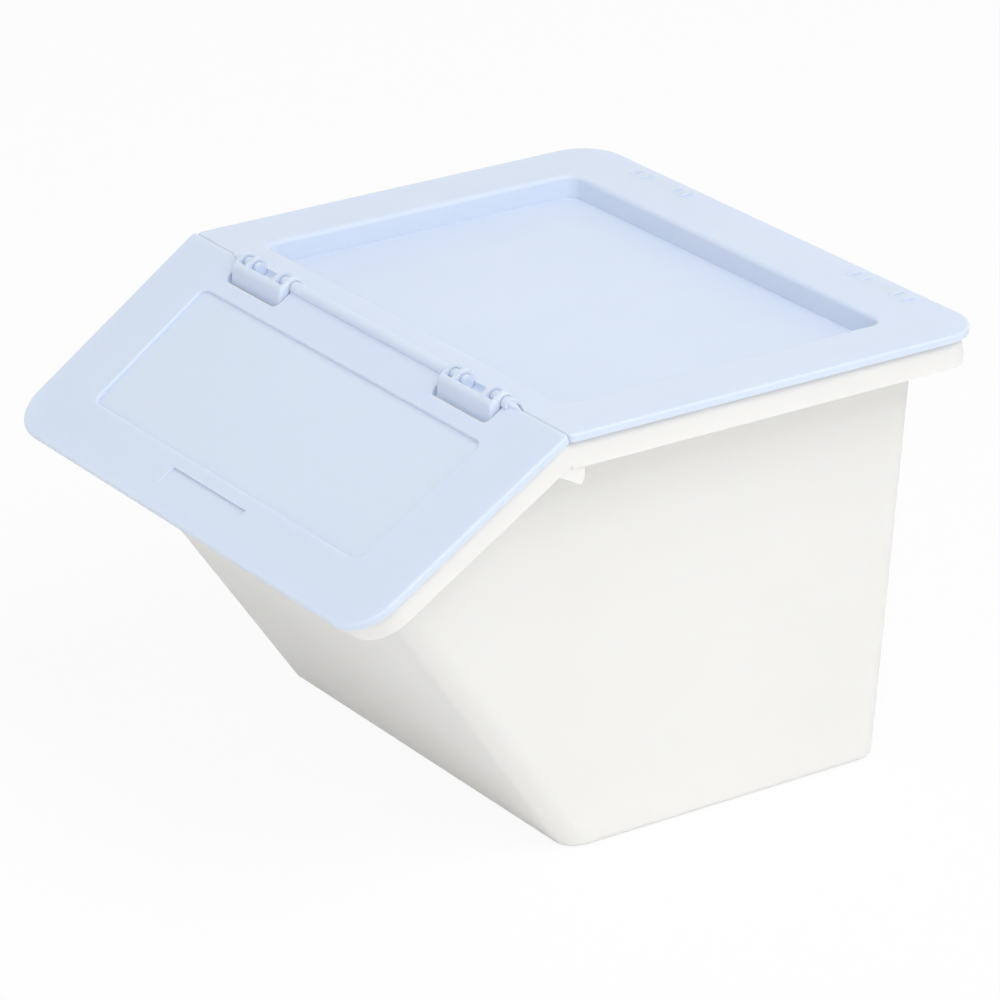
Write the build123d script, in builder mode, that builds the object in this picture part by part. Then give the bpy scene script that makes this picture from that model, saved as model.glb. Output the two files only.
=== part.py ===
from build123d import *
import os
from math import cos, radians, sin, tan

# Stackable storage box with a hopper front, in three mouldings: bin, top cover and front flap.
# The frame: +Z up, front (flap) at -Y, origin under the middle of the whole box, on the floor.
# The ridge is the line where the outer faces of the cover and the flap meet. A depth is measured
# square to the nearer of those faces, and a run down the slope from the ridge.

# Overall sizes
cover_width = 148.0
cover_depth = 111.3
cover_height = 105.8
flap_length = 60.2
flap_slope = 33.5
flap_narrowing = 2.3
plate = 1.7
cover_corner = 10.5
flap_corner = 10.0
ridge_corner = 1.6
edge_round = 0.6

# Bin
side_overhang = 11.75
rear_overhang = 8.2
base_setback = 13.05
wall_draft = 2.68
chin_lean = 34.2
bin_wall = 1.6
base_wall = 1.8
upright_corner = 5.6
base_round = 2.0
inside_round = 1.0
seat_gap = 0.3

# Rim of the bin, with a gusset under each kink
rim_inset = 1.1
rim_skirt = 6.2
lip_skirt = 5.3
lip_inset = 2.0
rim_wall = 1.5
rim_round = 1.9
gusset_run = 3.2
gusset_reach = 0.9
gusset_drop = 4.0
gusset_setback = 0.35
gusset_corner = 1.0

# Stacking recess of the cover, a shallow tray
recess_setback = 9.5
recess_margin_side = 15.4
recess_margin_rear = 16.8
recess_depth = 5.0
recess_lean = 1.0
recess_corner = 3.6
recess_floor = 1.5
recess_wall = 1.3
recess_round = 1.2

# Panel and finger recess of the flap
panel_margin_side = 18.5
panel_margin_top = 10.0
panel_margin_front = 14.1
panel_depth = 0.8
panel_corner = 2.0
panel_taper = 12.0
panel_round = 0.45
finger_width = 29.4
finger_setback = 4.2
finger_length = 6.6
finger_depth = 0.55

# Front hinge: the flap's bead and pins, and the cover's knuckles
hinge_spacing = 82.5
knuckle_length = 20.5
outer_ring = 1.2
small_slot = 2.9
inner_ring = 1.2
pin_diameter = 3.0
pin_clearance = 0.06
pin_reach = 6.6
arch_wall = 0.8
hook_wall = 0.65
hook_side_gap = 0.1
slot_flare = 46.0
hinge_setback = 0.4
bead_gap = 0.3
ridge_gap = 0.2
ridge_round = 0.45
flap_end_reach = 0.35
flap_end_round = 0.25
kink_round = 0.9
bead_stub = 1.6
bead_fade = 3.0
bead_fade_diameter = 1.9
bead_tip_diameter = 0.6
skirt_reach = 4.2
skirt_drop = 4.2
skirt_lean = 4.5
shoulder_round = 2.2
skirt_round = 0.8
cutout_gap = 0.5
cutout_length = 6.2
cutout_corner = 1.8

# Rear hinge: the bin's bars, the cover's grooves and low ribs, and the shelf that clears the cover's tail
tail = 3.9
rear_hinge_drop = 1.9
rear_pin_diameter = 2.4
rear_end_cap = 0.7
rear_end_gap = 0.25
rib_radius = 4.5
rib_rise = 0.5
rib_lead = 0.2
slit_width = 0.4
slit_depth = 0.5
tail_gap = 0.3
shelf_setback = 1.2
pocket_setback = 2.6
arm_height = 2.3

# Reach of a drawn shape past the place where another one cuts it, the span of one and the same place, and
# the least rise of an edge that counts as upright, for each unit of its length
overrun = 15.0
same_place = 0.01
upright_rise = 0.7

# Derived places
slope_cos = cos(radians(flap_slope))
slope_sin = sin(radians(flap_slope))
slope_tan = tan(radians(flap_slope))
mitre_tan = tan(radians(flap_slope / 2))
draft_tan = tan(radians(wall_draft))
chin_cos = cos(radians(chin_lean))
chin_tan = tan(radians(chin_lean))
flap_reach = flap_length * slope_cos - edge_round * (slope_cos + slope_sin - 1)
ridge_y = (flap_reach - cover_depth) / 2
rear_y = ridge_y + cover_depth
cover_half = cover_width / 2
plate_bottom = cover_height - plate
knuckle_centers = (-hinge_spacing / 2, hinge_spacing / 2)

pin_radius = pin_diameter / 2
bore_radius = pin_radius + pin_clearance
arch_radius = bore_radius + arch_wall
front_axis_y = ridge_y + hinge_setback
front_axis_z = cover_height

rear_pin_radius = rear_pin_diameter / 2
rear_bore_radius = rear_pin_radius + pin_clearance
rear_axis_y = rear_y - tail
rear_axis_z = cover_height - rear_hinge_drop

rim_half = cover_half - rim_inset
rim_rear_y = rear_y - rim_inset
rim_depth = plate + seat_gap
rim_top = cover_height - rim_depth
rim_bottom_depth = rim_depth + rim_skirt
lip_bottom_depth = rim_depth + lip_skirt
lip_run = flap_length - lip_inset
rim_corner = cover_corner - rim_inset

base_half = cover_half - side_overhang - cover_height * draft_tan
base_rear_y = rear_y - rear_overhang - cover_height * draft_tan
base_front_y = ridge_y + base_setback
recess_width = cover_width - 2 * recess_margin_side
recess_length = cover_depth - recess_setback - recess_margin_rear

# Outer face of the flap: local Y runs up the slope to the ridge, local Z points out of the face
flap_plane = Plane(origin=(0, ridge_y, cover_height), x_dir=(1, 0, 0), z_dir=(0, -slope_sin, slope_cos))
# Plane through the ridge that halves the angle between the two faces; its normal points to the rear
mitre_plane = Plane(origin=(0, ridge_y, cover_height), x_dir=(1, 0, 0), z_dir=(0, 1, mitre_tan))


def kink_point(depth):
    """Point of the mitre plane at this depth (Y, Z)."""
    return ridge_y + depth * mitre_tan, cover_height - depth


def slope_point(run, depth):
    """Point at this run down the slope and this depth (Y, Z)."""
    y = ridge_y - run * slope_cos + depth * slope_sin
    z = cover_height - run * slope_sin - depth * slope_cos
    return y, z


def slope_height(y, depth):
    """Height, at this Y, of the plane that lies at this depth under the flap's face."""
    return cover_height + (y - ridge_y) * slope_tan - depth / slope_cos


def chin_point(inset, depth):
    """Point (Y, Z) at this depth on the chin, moved in from its outer face by the inset."""
    foot_y = base_front_y + inset / chin_cos
    z = slope_height(foot_y, depth) / (1 + chin_tan * slope_tan)
    return foot_y - z * chin_tan, z


def bar(radius, x_from, x_to, y, z):
    """Round bar along X."""
    with BuildPart() as round_bar:
        with BuildSketch(Plane.YZ.offset(x_from)):
            with Locations((y, z)):
                Circle(radius)
        extrude(amount=x_to - x_from)
    return round_bar.part


def prism(points, x_from, x_to):
    """Straight bar along X with a polygon section, given as (Y, Z) points."""
    with BuildPart() as straight_bar:
        with BuildSketch(Plane.YZ.offset(x_from)):
            with BuildLine():
                Polyline(*points, close=True)
            make_face()
        extrude(amount=x_to - x_from)
    return straight_bar.part


def faces_along(builder, direction):
    """Flat faces of the builder that face this way."""
    flat = builder.faces().filter_by(GeomType.PLANE)
    return flat.filter_by(lambda f: (f.normal_at() - direction).length < same_place)


def ring_spans(center):
    """X spans of the four arch rings of a knuckle, from left to right."""
    left = center - knuckle_length / 2
    right = center + knuckle_length / 2
    inner_start = outer_ring + small_slot
    inner_end = inner_start + inner_ring
    return (
        (left, left + outer_ring),
        (left + inner_start, left + inner_end),
        (right - inner_end, right - inner_start),
        (right - outer_ring, right),
    )


def slot_spans(center):
    """X spans of the first small slot, the long slot and the second small slot of a knuckle."""
    rings = ring_spans(center)
    return tuple((rings[i][1], rings[i + 1][0]) for i in range(3))


def hook(span, inner_radius, wall, y, z, top_z):
    """Ring, open above the given height, which carries a pin from below."""
    outer_radius = inner_radius + wall
    with BuildPart() as half_ring:
        with BuildSketch(Plane.YZ.offset(span[0] + hook_side_gap)):
            with Locations((y, z)):
                Circle(outer_radius)
                Circle(inner_radius, mode=Mode.SUBTRACT)
            with Locations((y, top_z + outer_radius)):
                Rectangle(2 * overrun, 2 * outer_radius, mode=Mode.SUBTRACT)
        extrude(amount=span[1] - span[0] - 2 * hook_side_gap)
    return half_ring.part


# Front flap
flap_low_half = cover_half - flap_narrowing
panel_half_top = cover_half - panel_margin_side
panel_low_run = flap_length - panel_margin_front
panel_half_low = panel_half_top - flap_narrowing * panel_low_run / flap_length
finger_run = flap_length - finger_setback
cutout_half = knuckle_length / 2 + cutout_gap
bead_half = hinge_spacing / 2 - cutout_half
stub_start = hinge_spacing / 2 + cutout_half
stub_end = stub_start + bead_stub
flap_end_y = front_axis_y + flap_end_reach

with BuildPart() as front_flap:
    # Plate, seen square to the flap: it narrows to the front, with rounded corners and edges
    with BuildSketch(flap_plane) as flap_outline:
        with BuildLine():
            Polyline(
                (-cover_half, overrun),
                (-cover_half, 0),
                (-flap_low_half, -flap_length),
                (flap_low_half, -flap_length),
                (cover_half, 0),
                (cover_half, overrun),
                close=True,
            )
        make_face()
        fillet(flap_outline.vertices().group_by(Axis.Y)[0], radius=flap_corner)
    extrude(amount=-plate)
    outer_edges = faces_along(front_flap, flap_plane.z_dir).edges()
    fillet(outer_edges.filter_by(lambda e: e.center().Y < ridge_y + overrun * slope_cos - same_place),
           radius=edge_round)
    # Hinge end: a soft ridge, a short level and an upright end just behind the hinge axis
    with BuildSketch(Plane.YZ) as end_section:
        with BuildLine():
            Polyline(
                slope_point(flap_length + overrun, 0),
                slope_point(flap_length + overrun, overrun),
                (flap_end_y, slope_height(flap_end_y, overrun)),
                (flap_end_y, cover_height),
                (ridge_y, cover_height),
                close=True,
            )
        make_face()
        fillet(end_section.vertices().group_by(Axis.Y)[-1].sort_by(Axis.X)[0], radius=kink_round)
        fillet(end_section.vertices().group_by(Axis.Y)[-1].sort_by(Axis.X)[-1], radius=flap_end_round)
    extrude(amount=cover_width, both=True, mode=Mode.INTERSECT)
    with BuildSketch(flap_plane) as end_outline:
        with Locations((0, (flap_end_y - ridge_y) * slope_cos - flap_length)):
            Rectangle(cover_width, 2 * flap_length)
        fillet(end_outline.vertices().group_by(Axis.Y)[-1], radius=ridge_corner)
    extrude(amount=overrun, both=True, mode=Mode.INTERSECT)
    # Shallow panel with leaning walls
    with BuildSketch(flap_plane) as panel_outline:
        with BuildLine():
            Polyline(
                (-panel_half_top, -panel_margin_top),
                (-panel_half_low, -panel_low_run),
                (panel_half_low, -panel_low_run),
                (panel_half_top, -panel_margin_top),
                close=True,
            )
        make_face()
        fillet(panel_outline.vertices(), radius=panel_corner)
    extrude(amount=-panel_depth, taper=panel_taper, mode=Mode.SUBTRACT)
    face_edges = front_flap.edges().filter_by(
        lambda e: abs(flap_plane.to_local_coords(e.center()).Z) < same_place)
    panel_edges = face_edges.filter_by(
        lambda e: abs(e.center().X) < panel_half_top + same_place
        and -panel_low_run - same_place < flap_plane.to_local_coords(e.center()).Y < same_place - panel_margin_top)
    fillet(panel_edges, radius=panel_round)
    # Finger recess: deepest at its upper wall, it runs out towards the front edge
    add(
        prism(
            [
                slope_point(finger_run, 0),
                slope_point(finger_run - finger_length, finger_depth),
                slope_point(finger_run - finger_length, -plate),
                slope_point(finger_run, -plate),
            ],
            -finger_width / 2, finger_width / 2),
        mode=Mode.SUBTRACT)
    # Cut-outs round the cover's knuckles
    with BuildSketch(flap_plane) as cutout_outline:
        for center in knuckle_centers:
            with Locations((center, 0)):
                Rectangle(2 * cutout_half, 2 * cutout_length)
        fillet(cutout_outline.vertices().group_by(Axis.Y)[0], radius=cutout_corner)
    extrude(amount=overrun, both=True, mode=Mode.SUBTRACT)
    # Bead along the hinge line between the cut-outs, and a stub with a fading tip outside them
    add(bar(pin_radius, -bead_half, bead_half, front_axis_y, front_axis_z))
    for side in (-1, 1):
        stub_span = sorted((side * stub_start, side * stub_end))
        add(bar(pin_radius, stub_span[0], stub_span[1], front_axis_y, front_axis_z))
        with BuildSketch(Plane.YZ.offset(side * stub_end)):
            with Locations((front_axis_y, front_axis_z)):
                Circle(bead_fade_diameter / 2)
        with BuildSketch(Plane.YZ.offset(side * (stub_end + bead_fade))):
            with Locations((front_axis_y, front_axis_z)):
                Circle(bead_tip_diameter / 2)
        loft(ruled=True)
    # Pins that point at each other across each cut-out
    pin_inner = knuckle_length / 2 - pin_reach
    for center in knuckle_centers:
        add(bar(pin_radius, center - cutout_half, center - pin_inner, front_axis_y, front_axis_z))
        add(bar(pin_radius, center + pin_inner, center + cutout_half, front_axis_y, front_axis_z))
front_flap.part.label = "front_flap"

# Top cover
recess_center_y = ridge_y + recess_setback + recess_length / 2
bead_edge_y = front_axis_y + pin_radius + bead_gap
ridge_edge_y = flap_end_y + ridge_gap
bead_edge_half = stub_end + bead_gap
fade_edge_half = bead_edge_half + bead_fade
rib_y = rear_axis_y - rib_lead
rib_z = cover_height + rib_rise - rib_radius

arch_top = front_axis_z + 2 * arch_radius

# Front knuckle section: an arch over the axis, a shoulder that leaves it along the flap's slope and a
# steep skirt; the slots between the arches start where the shoulder does
shoulder_y = front_axis_y - arch_radius * slope_sin
shoulder_z = front_axis_z + arch_radius * slope_cos
skirt_low_y = front_axis_y - skirt_reach
skirt_low_z = front_axis_z - skirt_drop
skirt_tan = tan(radians(skirt_lean))
skirt_rise = shoulder_z - skirt_low_z - (shoulder_y - skirt_low_y) * slope_tan
skirt_top_z = skirt_low_z + skirt_rise / (1 - skirt_tan * slope_tan)
skirt_top_y = skirt_low_y + (skirt_top_z - skirt_low_z) * skirt_tan
slot_front_y = front_axis_y - bore_radius - hook_wall / 2
slot_flare_y = slot_front_y - (arch_top - front_axis_z) * tan(radians(slot_flare))


def recess_block(width, length, depth, lean, corner):
    """Rounded block that hangs from the cover's outer face and narrows downwards."""
    with BuildPart() as block:
        with BuildSketch(Plane.XY.offset(cover_height)):
            with Locations((0, recess_center_y)):
                RectangleRounded(width, length, corner)
        with BuildSketch(Plane.XY.offset(cover_height - depth)):
            with Locations((0, recess_center_y)):
                RectangleRounded(width - 2 * lean, length - 2 * lean, corner)
        loft(ruled=True)
    return block.part


def front_knuckle(center):
    """Hood with a steep skirt, four arches over the flap's pins and three hooks under them."""
    left = center - knuckle_length / 2
    right = center + knuckle_length / 2
    foot_y = bead_edge_y + plate
    with BuildPart() as knuckle:
        with BuildSketch(Plane.YZ.offset(left)):
            with Locations((front_axis_y, front_axis_z)):
                Circle(arch_radius)
            with BuildSketch(Plane.YZ.offset(left), mode=Mode.PRIVATE) as hood:
                with BuildLine():
                    Polyline(
                        (front_axis_y, front_axis_z),
                        (shoulder_y, shoulder_z),
                        (skirt_top_y, skirt_top_z),
                        (skirt_low_y, skirt_low_z),
                        (front_axis_y, skirt_low_z),
                        close=True,
                    )
                make_face()
                fillet(hood.vertices().sort_by(Axis.X)[1], radius=shoulder_round)
            add(hood.sketch_local)
            with BuildLine():
                Polyline(
                    (front_axis_y, cover_height),
                    (front_axis_y, plate_bottom),
                    (foot_y, plate_bottom),
                    (foot_y, cover_height),
                    close=True,
                )
            make_face()
        extrude(amount=knuckle_length)
        end_faces = knuckle.faces().filter_by(Axis.X).sort_by(Axis.X)
        end_edges = end_faces[0].edges() + end_faces[-1].edges()
        outer_edges = end_edges.filter_by(
            lambda e: e.center().Z > front_axis_z + same_place or e.center().Y < skirt_top_y)
        fillet(outer_edges, radius=skirt_round)
        # Channel that the pins snap into from below
        add(bar(bore_radius, left, right, front_axis_y, front_axis_z), mode=Mode.SUBTRACT)
        channel = [
            (front_axis_y - bore_radius, front_axis_z),
            (front_axis_y + bore_radius, front_axis_z),
            (front_axis_y + bore_radius, skirt_low_z - plate),
            (front_axis_y - bore_radius, skirt_low_z - plate),
        ]
        add(prism(channel, left, right), mode=Mode.SUBTRACT)
        # Slots between the arches, open above and below, behind the skirt
        for span in slot_spans(center):
            slot = [
                (slot_flare_y, arch_top),
                (slot_front_y, front_axis_z),
                (slot_front_y, skirt_low_z - plate),
                (bead_edge_y, skirt_low_z - plate),
                (bead_edge_y, cover_height),
                (foot_y, cover_height),
                (foot_y, arch_top),
            ]
            add(prism(slot, span[0], span[1]), mode=Mode.SUBTRACT)
        for span in slot_spans(center):
            add(hook(span, bore_radius, hook_wall, front_axis_y, front_axis_z, front_axis_z))
    return knuckle.part


def rear_rib(span):
    """Low rib over the groove for the bin's bar."""
    with BuildPart() as rib:
        add(bar(rib_radius, span[0], span[1], rib_y, rib_z))
        split(bisect_by=Plane.XY.offset(plate_bottom), keep=Keep.TOP)
    return rib.part


with BuildPart() as top_cover:
    with BuildSketch(Plane.XY.offset(plate_bottom)) as cover_outline:
        with BuildLine():
            Polyline(
                (-cover_half, ridge_edge_y),
                (-fade_edge_half, ridge_edge_y),
                (-bead_edge_half, bead_edge_y),
                (bead_edge_half, bead_edge_y),
                (fade_edge_half, ridge_edge_y),
                (cover_half, ridge_edge_y),
                (cover_half, rear_y),
                (-cover_half, rear_y),
                close=True,
            )
        make_face()
        fillet(cover_outline.vertices().group_by(Axis.Y)[-1], radius=cover_corner)
        ridge_vertices = cover_outline.vertices().filter_by(lambda v: v.Y < rear_y - cover_depth / 2)
        fillet(ridge_vertices.filter_by(lambda v: abs(v.X) > cover_half - plate), radius=ridge_corner)
    extrude(amount=plate)
    top_edges = top_cover.faces().sort_by(Axis.Z)[-1].edges()
    fillet(top_edges, radius=ridge_round)
    add(recess_block(
        recess_width + 2 * recess_wall,
        recess_length + 2 * recess_wall,
        recess_depth + recess_floor,
        recess_lean,
        recess_corner + recess_wall))
    for center in knuckle_centers:
        for span in ring_spans(center):
            add(rear_rib(span))
    add(
        recess_block(recess_width, recess_length, recess_depth, recess_lean, recess_corner),
        mode=Mode.SUBTRACT)
    recess_edges = top_cover.edges().filter_by(
        lambda e: abs(e.center().Z - cover_height) < same_place
        and abs(e.center().X) < recess_width / 2 + same_place
        and abs(e.center().Y - recess_center_y) < recess_length / 2 + same_place)
    fillet(recess_edges, radius=recess_round)
    # Groove of each rear knuckle with a shallow slit over its middle and two hooks under its ends
    slit_bottom = cover_height + rib_rise - slit_depth
    for center in knuckle_centers:
        groove_half = knuckle_length / 2 - rear_end_cap
        add(bar(rear_bore_radius, center - groove_half, center + groove_half, rear_axis_y, rear_axis_z),
            mode=Mode.SUBTRACT)
        slit = [
            (rear_axis_y - slit_width / 2, slit_bottom),
            (rear_axis_y + slit_width / 2, slit_bottom),
            (rear_axis_y + slit_width / 2, arch_top),
            (rear_axis_y - slit_width / 2, arch_top),
        ]
        add(prism(slit, *slot_spans(center)[1]), mode=Mode.SUBTRACT)
        for span in slot_spans(center)[0::2]:
            add(hook(span, rear_bore_radius, hook_wall, rear_axis_y, rear_axis_z, plate_bottom + hook_wall / 2))
    for center in knuckle_centers:
        add(front_knuckle(center))
top_cover.part.label = "top_cover"


# Bin
def tub(inset, foot, top_depth, corner, foot_round):
    """Drafted tub block, drawn in from the bin's outer faces, from its foot up to a depth."""
    rear_low = base_rear_y - inset + foot * draft_tan
    rear_high = rear_low + (cover_height - top_depth - foot) * draft_tan
    half_low = base_half - inset + foot * draft_tan
    half_high = half_low + (cover_height - foot) * draft_tan
    front_low = base_front_y + inset / chin_cos - foot * chin_tan
    with BuildPart() as block:
        with BuildSketch(Plane.YZ.offset(-cover_half)):
            with BuildLine():
                Polyline(
                    (front_low, foot),
                    (rear_low, foot),
                    (rear_high, cover_height - top_depth),
                    kink_point(top_depth),
                    chin_point(inset, top_depth),
                    close=True,
                )
            make_face()
        extrude(amount=cover_width)
        with BuildSketch(Plane.XZ):
            with BuildLine():
                Polyline(
                    (-half_low, foot),
                    (half_low, foot),
                    (half_high, cover_height),
                    (-half_high, cover_height),
                    close=True,
                )
            make_face()
        extrude(amount=cover_width, both=True, mode=Mode.INTERSECT)
        uprights = block.edges().filter_by(lambda e: abs(e.tangent_at(0.5).Z) > upright_rise)
        fillet(uprights, radius=corner)
        fillet(block.edges().group_by(Axis.Z)[0], radius=foot_round)
    return block.part


def rim_slab(inset, depth, level_thickness, sloped_thickness, rounding):
    """Slab that follows the cover's and the flap's faces, with the rim's outline drawn in by the inset."""
    half = rim_half - inset
    corner = rim_corner - inset
    taper_start = rim_bottom_depth * mitre_tan
    with BuildPart() as level_slab:
        with BuildSketch(Plane.XY.offset(cover_height - depth)) as level_outline:
            with BuildLine():
                Polyline(
                    (-half, ridge_y - overrun),
                    (half, ridge_y - overrun),
                    (half, rim_rear_y - inset),
                    (-half, rim_rear_y - inset),
                    close=True,
                )
            make_face()
            fillet(level_outline.vertices().group_by(Axis.Y)[-1], radius=corner)
        extrude(amount=-level_thickness)
        if rounding > 0:
            level_edges = level_slab.faces().sort_by(Axis.Z)[-1].edges()
            fillet(level_edges.filter_by(lambda e: e.center().Y > ridge_y), radius=rounding)
        split(bisect_by=mitre_plane, keep=Keep.TOP)
    with BuildPart() as sloped_slab:
        with BuildSketch(flap_plane.offset(-depth)) as sloped_outline:
            with BuildLine():
                Polyline(
                    (-half, overrun),
                    (-half, -taper_start),
                    (-half + flap_narrowing, inset - lip_run),
                    (half - flap_narrowing, inset - lip_run),
                    (half, -taper_start),
                    (half, overrun),
                    close=True,
                )
            make_face()
            fillet(sloped_outline.vertices().group_by(Axis.Y)[0], radius=corner)
        extrude(amount=-sloped_thickness)
        if rounding > 0:
            sloped_edges = faces_along(sloped_slab, flap_plane.z_dir).edges()
            sloped_edges = sloped_edges.filter_by(lambda e: e.center().Y < ridge_y)
            fillet(sloped_edges, radius=rounding)
        split(bisect_by=mitre_plane, keep=Keep.BOTTOM)
    with BuildPart() as slab:
        add(level_slab.part)
        add(sloped_slab.part)
    return slab.part


def hinge_arm(center):
    """Web from the pocket's wall that carries the bar of a rear knuckle."""
    long_slot = slot_spans(center)[1]
    bar_half = knuckle_length / 2 - rear_end_cap - rear_end_gap
    web = [
        (pocket_y - rim_wall / 2, rim_top),
        (rear_axis_y, rim_top),
        (rear_axis_y, rear_axis_z - rear_pin_radius / 2),
        (pocket_y, rim_top - arm_height),
        (pocket_y - rim_wall / 2, rim_top - arm_height),
    ]
    with BuildPart() as arm:
        add(prism(web, long_slot[0] + rear_end_gap, long_slot[1] - rear_end_gap))
        add(bar(rear_pin_radius, center - bar_half, center + bar_half, rear_axis_y, rear_axis_z))
    return arm.part


# The cover's tail swings down to this height, its upper edge rounded
tail_reach = ((tail - ridge_round) ** 2 + (rear_hinge_drop - ridge_round) ** 2) ** 0.5 + ridge_round
shelf_z = rear_axis_z - tail_reach - tail_gap
shelf_y = rear_axis_y - shelf_setback
pocket_y = rear_axis_y - pocket_setback


def step_block(front_y, x_from, x_to, inset):
    """Block over the lower shelf, from its front to the rear, let down and out by the inset."""
    section = [
        (front_y - inset, shelf_z - inset),
        (rear_y, shelf_z - inset),
        (rear_y, cover_height),
        (front_y - inset, cover_height),
    ]
    return prism(section, x_from - inset, x_to + inset)


def rear_step(inset):
    """The whole shelf: a step along the rear edge, with a deeper pocket at each knuckle."""
    with BuildPart() as step:
        add(step_block(shelf_y, -cover_half, cover_half, inset))
        for center in knuckle_centers:
            add(step_block(pocket_y, center - cutout_half, center + cutout_half, inset))
    return step.part


with BuildPart() as rim_cavity:
    add(rim_slab(rim_wall, rim_depth + rim_wall, rim_skirt, rim_skirt, 0))
    add(rear_step(rim_wall), mode=Mode.SUBTRACT)

with BuildPart() as bin_body:
    add(rim_slab(0, rim_depth, rim_skirt, lip_skirt, rim_round))
    add(rear_step(0), mode=Mode.SUBTRACT)
    add(rim_cavity.part, mode=Mode.SUBTRACT)
    gusset_z = cover_height - rim_bottom_depth - gusset_drop
    gusset_rear_y = kink_point(rim_bottom_depth)[0] + gusset_run
    gusset_front_y = ridge_y - gusset_reach
    gusset_front_z = slope_height(gusset_front_y, lip_bottom_depth)
    gusset = [
        (gusset_front_y, gusset_front_z),
        (gusset_rear_y - gusset_corner, gusset_z),
        (gusset_rear_y, gusset_z + gusset_corner),
        (gusset_rear_y, cover_height - rim_bottom_depth + rim_wall),
        (ridge_y, cover_height - rim_bottom_depth + 2 * rim_wall),
        (gusset_front_y, gusset_front_z + rim_wall),
    ]
    gusset_face = rim_half - gusset_setback
    for side in (-1, 1):
        gusset_x = sorted((side * gusset_face, side * (gusset_face - rim_wall / 2)))
        add(prism(gusset, gusset_x[0], gusset_x[1]))
    add(tub(0, 0, rim_depth, upright_corner, base_round))
    add(tub(bin_wall, base_wall, 0, upright_corner - bin_wall, inside_round), mode=Mode.SUBTRACT)
    for center in knuckle_centers:
        add(hinge_arm(center))
bin_body.part.label = "bin"

os.makedirs("parts", exist_ok=True)
export_step(bin_body.part, "parts/bin.step")
export_step(top_cover.part, "parts/top_cover.step")
export_step(front_flap.part, "parts/front_flap.step")
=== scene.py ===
# %% [markdown]
# # A storage box with a hopper front
# The box is three injection mouldings: a white tub, a pale blue top cover and a pale blue front flap.
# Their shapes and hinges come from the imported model. They could be drawn again here, but then the
# picture and the hinges could drift apart, so the meshes stay as they are. This lesson gives them the
# plastic's look: the satin of the white tub, the soft gloss of the blue lids, and the small marks
# that make moulded plastic believable.

from math import cos, radians, sin

import bpy
from mathutils import Matrix, Vector

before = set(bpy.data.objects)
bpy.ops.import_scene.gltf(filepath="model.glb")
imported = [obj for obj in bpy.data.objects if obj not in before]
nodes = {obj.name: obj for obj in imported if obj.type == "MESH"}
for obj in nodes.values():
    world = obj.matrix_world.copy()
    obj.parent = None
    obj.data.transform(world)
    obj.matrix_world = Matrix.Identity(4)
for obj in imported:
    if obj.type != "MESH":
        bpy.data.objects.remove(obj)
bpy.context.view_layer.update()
scene = bpy.context.scene


print("pieces:", sorted(nodes))

# %% [markdown]
# ## Camera
# The photo was taken from the right of the front and a little above, with a long lens, so the box
# shows little perspective. A camera could be typed in as a place and three turns, but such numbers
# say little about the view. It is easier to read and to adjust by what it looks at: a point inside
# the box, the direction that it is seen from as an azimuth, an elevation and a slight roll, and a
# distance.

# %% Camera at the photo's viewing angle
view_azimuth = radians(55.79)
view_elevation = radians(22.87)
view_roll = radians(-0.1)
aim_point = Vector((-0.0038, 0.0057, 0.0560))
aim_distance = 1.1813
lens_mm = 190.4
sensor_mm = 36
far_limit = 20

towards_camera = Vector((
    sin(view_azimuth) * cos(view_elevation),
    -cos(view_azimuth) * cos(view_elevation),
    sin(view_elevation),
))
level_right = Vector((cos(view_azimuth), sin(view_azimuth), 0))
level_up = towards_camera.cross(level_right)
camera_right = level_right * cos(view_roll) + level_up * sin(view_roll)
camera_up = level_up * cos(view_roll) - level_right * sin(view_roll)

camera = bpy.data.objects.new("camera", bpy.data.cameras.new("camera"))
scene.collection.objects.link(camera)
turn = Matrix((camera_right, camera_up, towards_camera)).transposed().to_4x4()
camera.matrix_world = Matrix.Translation(aim_point + aim_distance * towards_camera) @ turn
camera.data.lens = lens_mm
camera.data.sensor_width = sensor_mm
camera.data.clip_end = far_limit
scene.camera = camera
scene.view_settings.view_transform = "Standard"
print("camera at", [round(v, 3) for v in camera.matrix_world.translation])

# %% [markdown]
# ## Light
# Pale plastic needs a calm, bright room. One strong lamp would show the form, but it would burn out
# the white tub and cut hard shadows. So the white floor and the room's own fill do most of the work:
# they light every side almost evenly, as a tent of white cloth does. One large soft lamp, high on the
# right, makes the cover and the right wall a shade lighter than the front. Two weak ones stand low:
# the side lamp reaches under the rim, and the front lamp keeps the chin and the flap from going dull.


# %% Soft studio lamps
lamp_size = 1.0
box_middle = (0, 0, 0.05)


def soft_lamp(name, place, power):
    """Square area lamp that shines from its place to the middle of the box."""
    lamp = bpy.data.lights.new(name, "AREA")
    lamp.shape = "SQUARE"
    lamp.size = lamp_size
    lamp.energy = power
    lamp_object = bpy.data.objects.new(name, lamp)
    lamp_object.location = place
    beam = Vector(box_middle) - Vector(place)
    lamp_object.rotation_euler = beam.to_track_quat("-Z", "Y").to_euler()
    scene.collection.objects.link(lamp_object)
    print(name, power, "W")


soft_lamp("key_lamp", place=(0.79, 0.22, 1.31), power=9.0)
soft_lamp("side_lamp", place=(1.10, -0.35, 0.35), power=1.6)
soft_lamp("front_lamp", place=(-0.10, -1.30, 0.20), power=2.2)

# %% [markdown]
# ### A glow in the closed tub
# Thin white walls let daylight into the closed tub, so the gaps of the real box look warm, not black.
# The walls could be made translucent, but light that crosses a wall is slow to render and leaves
# grain. A faint lamp in the middle of the tub stands in for it: its light bounces between the warm
# white walls and reaches the gaps from below. It is hidden from the camera and from reflections.

# %% Glow lamp
glow_power = 0.035
glow_radius = 0.02
glow_place = (0, 0.01, 0.05)

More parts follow.
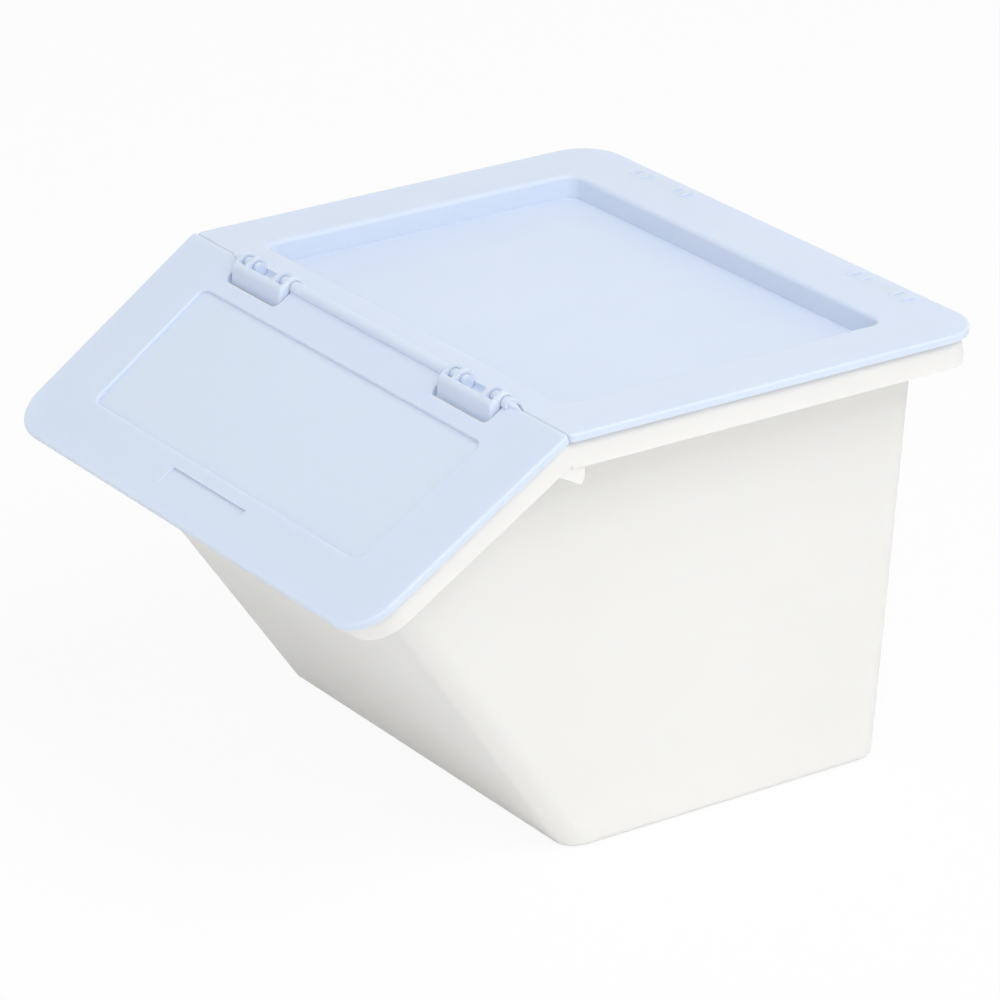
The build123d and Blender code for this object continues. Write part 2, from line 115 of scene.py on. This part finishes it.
glow = bpy.data.lights.new("glow_lamp", "POINT")
glow.energy = glow_power
glow.shadow_soft_size = glow_radius
glow_lamp = bpy.data.objects.new("glow_lamp", glow)
glow_lamp.location = glow_place
glow_lamp.visible_camera = False
glow_lamp.visible_glossy = False
scene.collection.objects.link(glow_lamp)
print(glow_lamp.name, glow_power, "W")

# %% [markdown]
# ### White room
# White walls could be built round the box, but a world is simpler and has no corners to reflect. One
# strength doesn't serve all its uses: bright enough to look white, it would wash out the shadows. So
# it fills the shadows at a modest strength, and it is shown to the camera and to reflections at
# strength 1, so that the background is white and the gloss on the lids reflects a white room.

# %% White room
fill_strength = 0.62
world = bpy.data.worlds.new("white_room")
scene.world = world
world.use_nodes = True
room = world.node_tree
room.nodes.clear()
light_path = room.nodes.new("ShaderNodeLightPath")
seen = room.nodes.new("ShaderNodeMath")
seen.operation = "MAXIMUM"
seen_or_through = room.nodes.new("ShaderNodeMath")
seen_or_through.operation = "MAXIMUM"
strength = room.nodes.new("ShaderNodeMapRange")
strength.inputs["To Min"].default_value = fill_strength
strength.inputs["To Max"].default_value = 1.0
background = room.nodes.new("ShaderNodeBackground")
background.inputs["Color"].default_value = (1, 1, 1, 1)
world_output = room.nodes.new("ShaderNodeOutputWorld")
room.links.new(light_path.outputs["Is Camera Ray"], seen.inputs[0])
room.links.new(light_path.outputs["Is Glossy Ray"], seen.inputs[1])
room.links.new(seen.outputs[0], seen_or_through.inputs[0])
room.links.new(light_path.outputs["Is Transmission Ray"], seen_or_through.inputs[1])
room.links.new(seen_or_through.outputs[0], strength.inputs["Value"])
room.links.new(strength.outputs[0], background.inputs["Strength"])
room.links.new(background.outputs[0], world_output.inputs["Surface"])
print("world fill:", fill_strength)

# %% [markdown]
# ## Floor
# The box stands on a white sheet that runs out of view. A plane that only catches a shadow would be
# whiter, but it would throw no light back up at the tub. So the sheet is real and lit. In the photo
# it is as white as the room, and for the camera alone part of its look is a plain white glow: that
# lifts the sheet to white and leaves a faint soft shadow beside the box.

# %% White floor
floor_half = 3.0
sheet_white = 0.93
sheet_roughness = 0.9
sheet_gloss = 0.1
white_share = 0.9

floor_mesh = bpy.data.meshes.new("floor")
floor_corners = [(-floor_half, -floor_half, 0), (floor_half, -floor_half, 0),
                 (floor_half, floor_half, 0), (-floor_half, floor_half, 0)]
floor_mesh.from_pydata(floor_corners, [], [(0, 1, 2, 3)])
floor = bpy.data.objects.new("floor", floor_mesh)
scene.collection.objects.link(floor)

floor_material = bpy.data.materials.new("white_sheet")
floor_material.use_nodes = True
sheet = floor_material.node_tree
sheet_shader = sheet.nodes["Principled BSDF"]
sheet_shader.inputs["Base Color"].default_value = (sheet_white, sheet_white, sheet_white, 1)
sheet_shader.inputs["Roughness"].default_value = sheet_roughness
sheet_shader.inputs["Specular IOR Level"].default_value = sheet_gloss
sheet_path = sheet.nodes.new("ShaderNodeLightPath")
glow_share = sheet.nodes.new("ShaderNodeMath")
glow_share.operation = "MULTIPLY"
glow_share.inputs[1].default_value = white_share
white_glow = sheet.nodes.new("ShaderNodeEmission")
sheet_mix = sheet.nodes.new("ShaderNodeMixShader")
sheet.links.new(sheet_path.outputs["Is Camera Ray"], glow_share.inputs[0])
sheet.links.new(glow_share.outputs[0], sheet_mix.inputs[0])
sheet.links.new(sheet_shader.outputs[0], sheet_mix.inputs[1])
sheet.links.new(white_glow.outputs[0], sheet_mix.inputs[2])
sheet.links.new(sheet_mix.outputs[0], sheet.nodes["Material Output"].inputs["Surface"])
floor_mesh.materials.append(floor_material)
print("floor:", 2 * floor_half, "m square")

# %% [markdown]
# ## Effects that all the mouldings share
# Moulded plastic is never quite even. Its skin copies the fine spark grain of the mould, its plates
# draw in a little as they cool, its pigment flows in faint clouds, and hands leave smudges and
# hairline scratches. Pictures of such marks would need unwrapped meshes and would repeat. Noise needs
# only the place on the piece, so each effect is one small group of noise nodes, built once and used
# by every plastic. A group gives out only a height, a mask or a colour; what it does to the surface
# is decided in each material.


# %% An empty group for the skin
def effect_group(name, inputs, outputs):
    """Empty shader group with the named sockets; returns it with its two end nodes."""
    group = bpy.data.node_groups.new(name, "ShaderNodeTree")
    for socket_name, kind in inputs:
        group.interface.new_socket(socket_name, in_out="INPUT", socket_type=kind)
    for socket_name, kind in outputs:
        group.interface.new_socket(socket_name, in_out="OUTPUT", socket_type=kind)
    return group, group.nodes.new("NodeGroupInput"), group.nodes.new("NodeGroupOutput")


skin, skin_in, skin_out = effect_group(
    "moulded_skin",
    [("Place", "NodeSocketVector")],
    [("Height", "NodeSocketFloat")],
)
print(skin.name, "puts out", [socket.name for socket in skin_out.inputs if socket.name])

# %% [markdown]
# ### Moulded skin
# A mould that was eroded by sparks leaves a fine grain, and the cooling plate adds swells. Real dents
# this small would take millions of faces, so they are a bump. The group gives the height of the skin
# in metres: a grain a few thousandths of a millimetre deep, a broader orange-peel swell, and the slow
# draw of a cooling plate, about a tenth of a millimetre over several centimetres.


# %% Moulded skin
def noise(group, vector, scale, detail, distortion=0.0):
    """Noise texture on a vector; returns its value output."""
    texture = group.nodes.new("ShaderNodeTexNoise")
    texture.inputs["Scale"].default_value = scale
    texture.inputs["Detail"].default_value = detail
    texture.inputs["Distortion"].default_value = distortion
    group.links.new(vector, texture.inputs["Vector"])
    return texture.outputs["Fac"]


def combine(group, operation, first, second):
    """Math node on two values, the second one a value or a number."""
    node = group.nodes.new("ShaderNodeMath")
    node.operation = operation
    group.links.new(first, node.inputs[0])
    if isinstance(second, (int, float)):
        node.inputs[1].default_value = second
    else:
        group.links.new(second, node.inputs[1])
    return node.outputs[0]


grain_per_metre = 2600
peel_per_metre = 320
draw_per_metre = 24
grain_height = 6e-6
peel_height = 1.6e-5
draw_height = 1.6e-4

skin_place = skin_in.outputs["Place"]
grain = combine(skin, "MULTIPLY", noise(skin, skin_place, grain_per_metre, detail=2), grain_height)
peel = combine(skin, "MULTIPLY", noise(skin, skin_place, peel_per_metre, detail=1), peel_height)
draw = combine(skin, "MULTIPLY", noise(skin, skin_place, draw_per_metre, detail=0), draw_height)
skin.links.new(combine(skin, "ADD", combine(skin, "ADD", grain, peel), draw), skin_out.inputs["Height"])
print("moulded_skin:", len(skin.nodes), "nodes")

# %% [markdown]
# ### Pigment
# Colour in plastic lies in soft clouds and faint flow lines that run out from the gate. One flat
# colour would look like paper. The group mixes two nearly equal colours by two noises, a round one
# for the clouds and a stretched one for the flow, which costs little and stays just visible.


# %% Pigment
def remap(group, value, low, high, to_low=0.0, to_high=1.0):
    """Stretch of a value from one range to another, held at its ends."""
    node = group.nodes.new("ShaderNodeMapRange")
    for end, number in (("From Min", low), ("From Max", high), ("To Min", to_low), ("To Max", to_high)):
        node.inputs[end].default_value = number
    group.links.new(value, node.inputs["Value"])
    return node.outputs["Result"]


cloud_per_metre = 16
cloud_swirl = 0.6
cloud_range = (0.3, 0.7)
cloud_share = 0.7
flow_per_metre = 90
flow_turn = 12
flow_length = 0.12
flow_range = (0.35, 0.7)
flow_share = 0.3

pigment, pigment_in, pigment_out = effect_group(
    "pigment",
    [("Place", "NodeSocketVector"), ("Pale", "NodeSocketColor"), ("Deep", "NodeSocketColor")],
    [("Color", "NodeSocketColor")],
)
pigment_place = pigment_in.outputs["Place"]
flow_stretch = pigment.nodes.new("ShaderNodeMapping")
flow_stretch.inputs["Rotation"].default_value = (0, 0, radians(flow_turn))
flow_stretch.inputs["Scale"].default_value = (1, flow_length, 1)
pigment.links.new(pigment_place, flow_stretch.inputs["Vector"])
cloud_noise = noise(pigment, pigment_place, cloud_per_metre, detail=2, distortion=cloud_swirl)
clouds = remap(pigment, cloud_noise, *cloud_range, to_high=cloud_share)
flow_noise = noise(pigment, flow_stretch.outputs[0], flow_per_metre, detail=3)
flow = remap(pigment, flow_noise, *flow_range, to_high=flow_share)
# A Mix node has the sockets A, B and Result once for each kind of data: 6, 7 and 2 are the colours
pigment_mix = pigment.nodes.new("ShaderNodeMix")
pigment_mix.data_type = "RGBA"
pigment.links.new(combine(pigment, "ADD", clouds, flow), pigment_mix.inputs["Factor"])
pigment.links.new(pigment_in.outputs["Pale"], pigment_mix.inputs[6])
pigment.links.new(pigment_in.outputs["Deep"], pigment_mix.inputs[7])
pigment.links.new(pigment_mix.outputs[2], pigment_out.inputs["Color"])
print("pigment:", len(pigment.nodes), "nodes")

# %% [markdown]
# ### Handling marks
# Smudges are broad and soft, where fingers have rested, and hairline scratches are long and thin.
# Scratches could be drawn one by one, but hundreds of them are easier to grow: a hairline is a noise
# that is stretched many times along one axis and then cut off high. Two directions are laid over each
# other, because a cloth and a shelf rub in different ways.

# %% Handling marks
smudge_per_metre = 38
smudge_swirl = 1.2
smudge_range = (0.42, 0.72)
hairline_per_metre = 900
hairline_stretch = (1, 0.018, 0.4)
hairline_edge = 0.03

marks, marks_in, marks_out = effect_group(
    "handling_marks",
    [("Place", "NodeSocketVector")],
    [("Smudges", "NodeSocketFloat"), ("Hairlines", "NodeSocketFloat")],
)
marks_place = marks_in.outputs["Place"]
smudge_noise = noise(marks, marks_place, smudge_per_metre, detail=3, distortion=smudge_swirl)
marks.links.new(remap(marks, smudge_noise, *smudge_range), marks_out.inputs["Smudges"])


def hairlines(turn_degrees, threshold):
    """Mask of thin lines that run along one direction of the plate."""
    stretch = marks.nodes.new("ShaderNodeMapping")
    stretch.inputs["Rotation"].default_value = (0, 0, radians(turn_degrees))
    stretch.inputs["Scale"].default_value = hairline_stretch
    marks.links.new(marks_place, stretch.inputs["Vector"])
    lines = noise(marks, stretch.outputs[0], hairline_per_metre, detail=1)
    return remap(marks, lines, threshold, threshold + hairline_edge)


from_cloth = hairlines(turn_degrees=24, threshold=0.74)
from_shelf = hairlines(turn_degrees=-52, threshold=0.76)
marks.links.new(combine(marks, "MAXIMUM", from_cloth, from_shelf), marks_out.inputs["Hairlines"])
print("handling_marks:", len(marks.nodes), "nodes")

# %% [markdown]
# ## The tub's plastic
# All three mouldings are polypropylene, which lets light a little way in, and that softens every
# edge. A plain diffuse surface would look like painted metal, so part of the light goes under the
# skin for a millimetre or two. One function makes any such plastic from its two near colours, its
# roughness, its smudging and that depth. The tub comes first: a warm white with a satin skin.


# %% A plastic from its colours and its gloss
hairline_roughness = 0.18
hairline_depth = 8e-6
plastic_ior = 1.49
light_share = 0.6
light_reach = (1.0, 0.95, 0.9)


def plastic(name, pale, deep, roughness, smudging, depth):
    """Moulded polypropylene: its two near colours, roughness, smudging and how deep light goes in."""
    material = bpy.data.materials.new(name)
    material.use_nodes = True
    tree = material.node_tree
    shader = tree.nodes["Principled BSDF"]
    where = tree.nodes.new("ShaderNodeTexCoord").outputs["Object"]

    colour = tree.nodes.new("ShaderNodeGroup")
    colour.node_tree = pigment
    colour.inputs["Pale"].default_value = (*pale, 1)
    colour.inputs["Deep"].default_value = (*deep, 1)
    surface = tree.nodes.new("ShaderNodeGroup")
    surface.node_tree = skin
    wear = tree.nodes.new("ShaderNodeGroup")
    wear.node_tree = marks
    for node in (colour, surface, wear):
        tree.links.new(where, node.inputs["Place"])
    tree.links.new(colour.outputs["Color"], shader.inputs["Base Color"])

    smudged = remap(tree, wear.outputs["Smudges"], 0, 1, roughness, roughness + smudging)
    scratched = combine(tree, "MULTIPLY", wear.outputs["Hairlines"], hairline_roughness)
    tree.links.new(combine(tree, "ADD", smudged, scratched), shader.inputs["Roughness"])

    cut = combine(tree, "MULTIPLY", wear.outputs["Hairlines"], -hairline_depth)
    bump = tree.nodes.new("ShaderNodeBump")
    bump.inputs["Distance"].default_value = 1.0
    tree.links.new(combine(tree, "ADD", surface.outputs["Height"], cut), bump.inputs["Height"])
    tree.links.new(bump.outputs["Normal"], shader.inputs["Normal"])

    shader.inputs["IOR"].default_value = plastic_ior
    shader.inputs["Subsurface Weight"].default_value = light_share
    shader.inputs["Subsurface Radius"].default_value = light_reach
    shader.inputs["Subsurface Scale"].default_value = depth
    return material


pale_white = (0.885, 0.88, 0.862)
deep_white = (0.862, 0.857, 0.838)
tub_plastic = plastic("white_tub_plastic", pale_white, deep_white,
                      roughness=0.42, smudging=0.10, depth=0.001)
print(tub_plastic.name, "has", len(tub_plastic.node_tree.nodes), "nodes")

# %% [markdown]
# ## The lids' plastics
# The cover and the flap are pale blue, with a softer and glossier skin. They could share one
# material, but they were moulded apart, and the flap, which hands open every day, is smudged more.
# So each has its own, from the same two blues.

# %% Blue plastics, and every piece in its plastic
pale_blue = (0.70, 0.782, 0.93)
deep_blue = (0.68, 0.764, 0.915)
cover_plastic = plastic("blue_cover_plastic", pale_blue, deep_blue,
                        roughness=0.30, smudging=0.12, depth=0.0015)
flap_plastic = plastic("blue_flap_plastic", pale_blue, deep_blue,
                       roughness=0.30, smudging=0.16, depth=0.0015)

finishes = {"bin": tub_plastic, "top_cover": cover_plastic, "front_flap": flap_plastic}
for node_name, material in finishes.items():
    for slot in nodes[node_name].material_slots:
        slot.material = material
    print(node_name, "is finished in", material.name)
